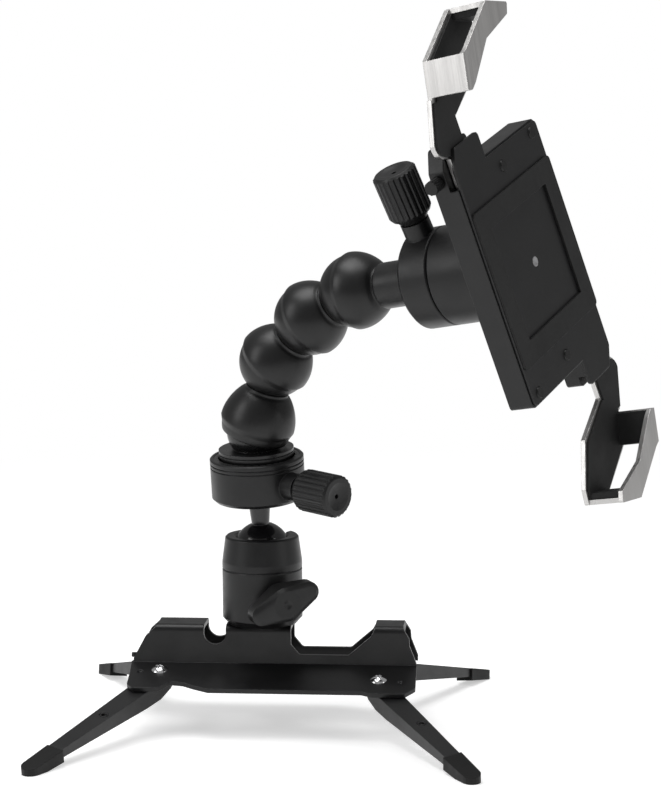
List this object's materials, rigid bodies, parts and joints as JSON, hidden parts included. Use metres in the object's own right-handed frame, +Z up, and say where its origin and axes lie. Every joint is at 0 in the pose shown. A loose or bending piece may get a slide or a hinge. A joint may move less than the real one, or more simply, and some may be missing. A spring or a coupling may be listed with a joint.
{
  "type": "tabletop phone stand with flexible arm",
  "caption": "Tabletop phone stand with folding legs, a ball head, two locking clamps, a bendable ball-jointed arm and a corner-clip phone holder.",
  "frame": {"origin": "on the ground under the centre of the four feet", "axes": "+X to the right along the base, +Y away from the viewer, +Z up"},
  "size_m": [0.1973, 0.1624, 0.2357],
  "materials": {
    "chassis_coat": "black powder coat, fine texture",
    "leg_coat": "dark grey powder coat",
    "foot_rubber": "matte black rubber",
    "rivet_chrome": "polished",
    "washer": "natural plastic",
    "zinc_steel": "zinc plated, turned",
    "head_coat": "black satin coat",
    "seat_plastic": "natural acetal",
    "ball_black": "glossy black",
    "knob_plastic": "soft matte black",
    "clamp_coat": "black satin coat",
    "grip_ring": "dark grey",
    "shoe_brass": "machined",
    "hub_black": "black satin coat",
    "arm_plastic": "matte black moulding",
    "seat_ring": "grey low-friction plastic",
    "cable_steel": "bright steel",
    "swivel_plastic": "matte black moulding",
    "black_screw": "black oxide",
    "holder_plastic": "matte black moulding",
    "pad_rubber": "matte black rubber",
    "clip_steel": "brushed stainless",
    "pinion_plastic": "natural acetal"
  },
  "bodies": {
    "base": {"chassis": "chassis_coat", "leg_rivets": "rivet_chrome", "leg_washers": "washer", "base_screw": "zinc_steel", "base_washer": "zinc_steel", "head_housing": "head_coat", "head_base_plug": "zinc_steel", "pressure_piston": "zinc_steel"},
    "leg_front_left": {"leg_front_left": "leg_coat", "foot_front_left": "foot_rubber"},
    "leg_front_right": {"leg_front_right": "leg_coat", "foot_front_right": "foot_rubber"},
    "leg_back_left": {"leg_back_left": "leg_coat", "foot_back_left": "foot_rubber"},
    "leg_back_right": {"leg_back_right": "leg_coat", "foot_back_right": "foot_rubber"},
    "wing": {"lock_screw": "zinc_steel", "wing_knob": "knob_plastic"},
    "ball_turn": {"ball_seat": "seat_plastic"},
    "ball": {"ball_stud": "ball_black", "lower_cup": "clamp_coat", "lower_grip_ring": "grip_ring", "lower_shoe": "shoe_brass"},
    "lower_knob": {"lower_clamp_screw": "zinc_steel", "lower_knob": "knob_plastic"},
    "hub": {"hub_plate": "hub_black", "cable_hub": "cable_steel", "cable_spring": "cable_steel"},
    "seat_hub": {"seat_ring_hub": "seat_ring"},
    "link_1": {"arm_link_1": "arm_plastic", "cable_link_1": "cable_steel"},
    "seat_1": {"seat_ring_1": "seat_ring"},
    "link_2": {"arm_link_2": "arm_plastic", "cable_link_2": "cable_steel"},
    "seat_2": {"seat_ring_2": "seat_ring"},
    "link_3": {"arm_link_3": "arm_plastic", "cable_link_3": "cable_steel"},
    "seat_3": {"seat_ring_3": "seat_ring"},
    "link_4": {"arm_link_4": "arm_plastic", "end_shaft": "arm_plastic", "cable_link_4": "cable_steel", "cable_nut": "zinc_steel", "upper_cup": "clamp_coat", "upper_shoe": "shoe_brass"},
    "upper_knob": {"upper_clamp_screw": "zinc_steel", "upper_knob": "knob_plastic"},
    "holder": {"swivel_plate": "swivel_plastic", "swivel_screws": "black_screw", "holder_body": "holder_plastic", "holder_cover": "holder_plastic", "cover_screws": "black_screw", "face_pad": "pad_rubber", "pinion_pin": "zinc_steel"},
    "clip_upper": {"upper_clip": "clip_steel", "upper_clip_pads": "pad_rubber"},
    "clip_lower": {"lower_clip": "clip_steel", "lower_clip_pads": "pad_rubber"},
    "pinion": {"pinion": "pinion_plastic"},
    "slide_lock": {"slide_lock_screw": "black_screw"}
  },
  "joints": [
    {"name": "leg_front_left_fold", "type": "hinge", "parent": "base", "child": "leg_front_left", "pos_m": [-0.0363, -0.01047, 0.0188], "axis": [0, -0.2773, 0.9608], "range_deg": [0, 121.79]},
    {"name": "leg_front_right_fold", "type": "hinge", "parent": "base", "child": "leg_front_right", "pos_m": [0.0367, -0.01508, 0.01747], "axis": [0, -0.2773, 0.9608], "range_deg": [-119.29, 0]},
    {"name": "leg_back_left_fold", "type": "hinge", "parent": "base", "child": "leg_back_left", "pos_m": [-0.0367, 0.01508, 0.01747], "axis": [0, 0.2773, 0.9608], "range_deg": [-119.29, 0]},
    {"name": "leg_back_right_fold", "type": "hinge", "parent": "base", "child": "leg_back_right", "pos_m": [0.0363, 0.01047, 0.0188], "axis": [0, 0.2773, 0.9608], "range_deg": [0, 121.79]},
    {"name": "wing_knob_turn", "type": "hinge", "parent": "base", "child": "wing", "pos_m": [-0.003, 0, 0.0453], "axis": [0.4384, -0.8988, 0], "range_deg": [-30, 360]},
    {"name": "ball_pan", "type": "hinge", "parent": "base", "child": "ball_turn", "pos_m": [-0.003, 0, 0.0592], "axis": [0, 0, 1], "continuous": true},
    {"name": "ball_tilt", "type": "hinge", "parent": "ball_turn", "child": "ball", "pos_m": [-0.003, 0, 0.0592], "axis": [-0.9511, 0.309, 0], "range_deg": [-28.7, 41.3]},
    {"name": "lower_knob_turn", "type": "hinge", "parent": "ball", "child": "lower_knob", "pos_m": [-0.00382, -0.00253, 0.08325], "axis": [0.7667, -0.6406, -0.0411], "range_deg": [-30, 360]},
    {"name": "hub_turn", "type": "hinge", "parent": "ball", "child": "hub", "pos_m": [-0.00438, -0.00424, 0.09956], "axis": [-0.0339, -0.1044, 0.994], "continuous": true},
    {"name": "arm_bend_1", "type": "hinge", "parent": "hub", "child": "seat_hub", "pos_m": [-0.00438, -0.00424, 0.09956], "axis": [0.5105, 0.8599, 0], "range_deg": [-36, 1]},
    {"name": "arm_twist_1", "type": "hinge", "parent": "seat_hub", "child": "link_1", "pos_m": [-0.00438, -0.00424, 0.09956], "axis": [0.2941, -0.1746, 0.9397], "range_deg": [-60, 60]},
    {"name": "arm_twist_2", "type": "hinge", "parent": "link_1", "child": "seat_1", "pos_m": [0.00306, -0.00865, 0.12333], "axis": [0.2941, -0.1746, 0.9397], "range_deg": [-60, 60]},
    {"name": "arm_bend_2", "type": "hinge", "parent": "seat_1", "child": "link_2", "pos_m": [0.00306, -0.00865, 0.12333], "axis": [0.5105, 0.8599, 0], "range_deg": [-56.5, 7.5]},
    {"name": "arm_twist_3", "type": "hinge", "parent": "link_2", "child": "seat_2", "pos_m": [0.01542, -0.01599, 0.13795], "axis": [0.6027, -0.3578, 0.7133], "range_deg": [-60, 60]},
    {"name": "arm_bend_3", "type": "hinge", "parent": "seat_2", "child": "link_3", "pos_m": [0.01542, -0.01599, 0.13795], "axis": [0.5105, 0.8599, 0], "range_deg": [-49, 15]},
    {"name": "arm_twist_4", "type": "hinge", "parent": "link_3", "child": "seat_3", "pos_m": [0.03091, -0.02519, 0.14773], "axis": [0.7557, -0.4487, 0.4772], "range_deg": [-60, 60]},
    {"name": "arm_bend_4", "type": "hinge", "parent": "seat_3", "child": "link_4", "pos_m": [0.03091, -0.02519, 0.14773], "axis": [0.5105, 0.8599, 0], "range_deg": [-50.6, 13.4]},
    {"name": "upper_knob_turn", "type": "hinge", "parent": "link_4", "child": "upper_knob", "pos_m": [0.05759, -0.04103, 0.15315], "axis": [-0.3567, -0.298, 0.8854], "range_deg": [-30, 360]},
    {"name": "holder_swivel", "type": "hinge", "parent": "link_4", "child": "holder", "pos_m": [0.07987, -0.05426, 0.15767], "axis": [0.847, -0.5029, 0.1719], "continuous": true},
    {"name": "upper_clip_slide", "type": "slide", "parent": "holder", "child": "clip_upper", "axis": [-0.3105, -0.2057, 0.928], "range_m": [-0.008, 0.014]},
    {"name": "lower_clip_slide", "type": "slide", "parent": "holder", "child": "clip_lower", "axis": [0.3105, 0.2057, -0.928], "range_m": [-0.008, 0.014]},
    {"name": "pinion_turn", "type": "hinge", "parent": "holder", "child": "pinion", "pos_m": [0.08444, -0.05697, 0.1586], "axis": [0.847, -0.5029, 0.1719], "range_deg": [-135.69, 78.39]},
    {"name": "slide_lock_turn", "type": "hinge", "parent": "holder", "child": "slide_lock", "pos_m": [0.0585, -0.0862, 0.18288], "axis": [0.4314, 0.8395, 0.3305], "range_deg": [-30, 360]}
  ],
  "couplings": [
    {"joint": "lower_clip_slide", "follows": "upper_clip_slide", "ratio": 1},
    {"joint": "pinion_turn", "follows": "upper_clip_slide", "rad_per_m": -166.67}
  ]
}
